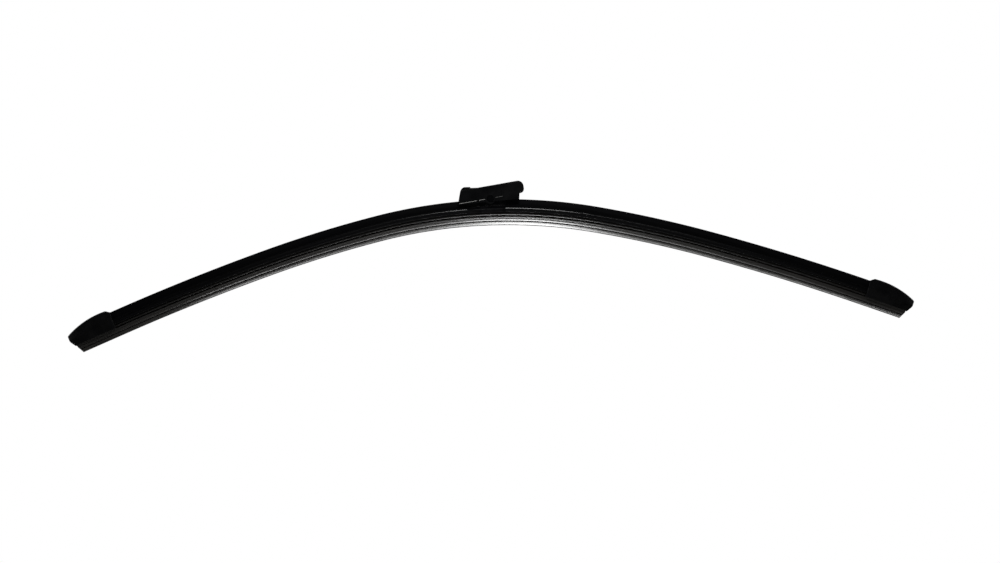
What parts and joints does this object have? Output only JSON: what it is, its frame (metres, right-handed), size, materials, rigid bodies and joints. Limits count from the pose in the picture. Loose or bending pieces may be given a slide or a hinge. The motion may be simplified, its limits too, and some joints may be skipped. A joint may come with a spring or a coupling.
{
  "type": "flat wiper blade",
  "caption": "Bowed flat wiper blade: a rubber wiping strip on hidden spring rails under a split spoiler, with end caps and a pivoting latch adapter for a wiper arm.",
  "frame": {"origin": "on the pivot pin's axis, midway across the blade", "axes": "+X along the blade towards the adapter's nose, +Y across it towards the lee side, +Z away from the glass"},
  "size_m": [0.6353, 0.0148, 0.1147],
  "materials": {
    "wiping_rubber": "smooth, coated",
    "spring_steel": "bright rolled",
    "spoiler_rubber": "matt",
    "moulded_plastic": "fine grain",
    "coated_steel": "satin black",
    "pin_steel": "blackened"
  },
  "bodies": {
    "adapter": {"arm_adapter": "moulded_plastic"},
    "blade": {"wiping_rubber": "wiping_rubber", "front_spring_rail": "spring_steel", "rear_spring_rail": "spring_steel", "left_spoiler": "spoiler_rubber", "right_spoiler": "spoiler_rubber", "left_end_cap": "moulded_plastic", "right_end_cap": "moulded_plastic", "connector_base": "coated_steel", "pivot_pin": "pin_steel"}
  },
  "joints": [
    {"name": "blade_pivot", "type": "hinge", "parent": "adapter", "child": "blade", "pos_m": [0, 0, 0], "axis": [0, 1, 0], "range_deg": [-10, 4]}
  ]
}
